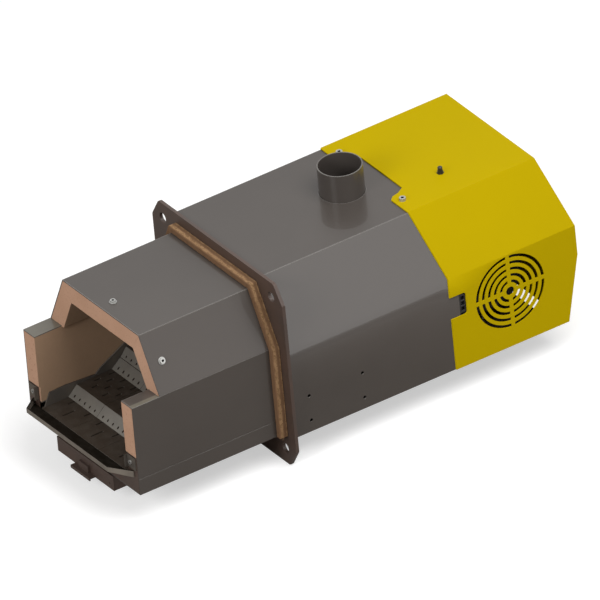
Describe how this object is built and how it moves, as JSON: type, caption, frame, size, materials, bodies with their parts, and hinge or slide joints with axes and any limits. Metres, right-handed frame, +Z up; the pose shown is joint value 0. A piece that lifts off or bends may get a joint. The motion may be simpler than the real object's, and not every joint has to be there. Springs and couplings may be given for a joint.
{
  "type": "pellet boiler burner",
  "caption": "Flanged pellet burner with a ceramic-lined nose, stepped moving grate, ash drawer, fuel inlet pipe and sheet cover with a round fan grille.",
  "frame": {"origin": "centre of the flange's bolt pattern, on the face that meets the boiler", "axes": "+Y along the burner to its rear, -Y out of the nose, +Z up, +X across, towards the side with the cable socket"},
  "size_m": [0.382, 0.893, 0.396],
  "materials": {
    "flange_steel": "satin dark brown, heat stained",
    "fibre_gasket": "matt pressed ceramic fibre",
    "casing_steel": "glossy dark grey",
    "ceramic": "matt pinkish refractory board",
    "fire_steel": "dark heat-resistant steel",
    "grate_steel": "scale-grey heat-resistant steel",
    "zinc_steel": "bright zinc",
    "frame_steel": "plain mild steel",
    "motor_black": "black",
    "gear_alloy": "cast alloy",
    "heater_ceramic": "matt white ceramic",
    "black_plastic": "moulded black",
    "cover_yellow": "satin yellow powder coat"
  },
  "bodies": {
    "burner": {"flange": "flange_steel", "gasket": "fibre_gasket", "roof_jacket": "casing_steel", "side_jackets": "casing_steel", "nose_channel": "casing_steel", "roof_board": "ceramic", "slope_boards": "ceramic", "side_boards": "ceramic", "rear_board": "ceramic", "front_plate": "flange_steel", "corner_brackets": "fire_steel", "bracket_screws": "zinc_steel", "roof_screws": "zinc_steel", "roof_washers": "zinc_steel", "grate_cheeks": "fire_steel", "grate_bars": "fire_steel", "grate_row_1": "fire_steel", "grate_row_3": "fire_steel", "grate_row_5": "fire_steel", "grate_row_7": "fire_steel", "carriage_rails": "frame_steel", "drive_tube": "frame_steel", "drive_motor": "motor_black", "ash_lip": "fire_steel", "ash_box": "flange_steel", "rear_casing": "casing_steel", "pellet_pipe": "casing_steel", "feed_tube": "frame_steel", "feed_end_plate": "frame_steel", "feed_bearing": "zinc_steel", "feed_gearbox": "gear_alloy", "feed_motor": "motor_black", "air_duct": "frame_steel", "fan_housing": "gear_alloy", "fan_motor": "motor_black", "fan_bracket": "frame_steel", "igniter_tube": "zinc_steel", "igniter": "heater_ceramic", "flame_sensor": "black_plastic", "cable_socket": "black_plastic", "thermostat": "black_plastic", "reset_bush": "black_plastic", "cover": "cover_yellow", "cover_screws": "zinc_steel"},
    "grate_drive": {"grate_row_2": "grate_steel", "grate_row_4": "grate_steel", "grate_row_6": "grate_steel", "grate_carriage": "frame_steel", "push_rod": "zinc_steel"},
    "clean_out": {"ash_drawer": "flange_steel"},
    "feed_auger": {"feed_shaft": "frame_steel", "feed_screw": "frame_steel"},
    "fan_rotor": {"fan_wheel": "gear_alloy", "fan_cage": "gear_alloy", "fan_shaft": "zinc_steel"},
    "reset": {"reset_button": "black_plastic"}
  },
  "joints": [
    {"name": "grate_slide", "type": "slide", "parent": "burner", "child": "grate_drive", "axis": [0, -1, 0], "range_m": [0, 0.02]},
    {"name": "ash_drawer_slide", "type": "slide", "parent": "burner", "child": "clean_out", "axis": [0, -1, 0], "range_m": [0, 0.15]},
    {"name": "feed_spin", "type": "hinge", "parent": "burner", "child": "feed_auger", "pos_m": [0, 0.3, 0.062], "axis": [0, 1, 0], "continuous": true},
    {"name": "fan_spin", "type": "hinge", "parent": "burner", "child": "fan_rotor", "pos_m": [0.09, 0.442, -0.02], "axis": [1, 0, 0], "continuous": true},
    {"name": "reset_press", "type": "slide", "parent": "burner", "child": "reset", "axis": [0, 0, -1], "range_m": [0, 0.0025], "stiffness_N_per_m": 400, "springref_m": -0.001}
  ]
}
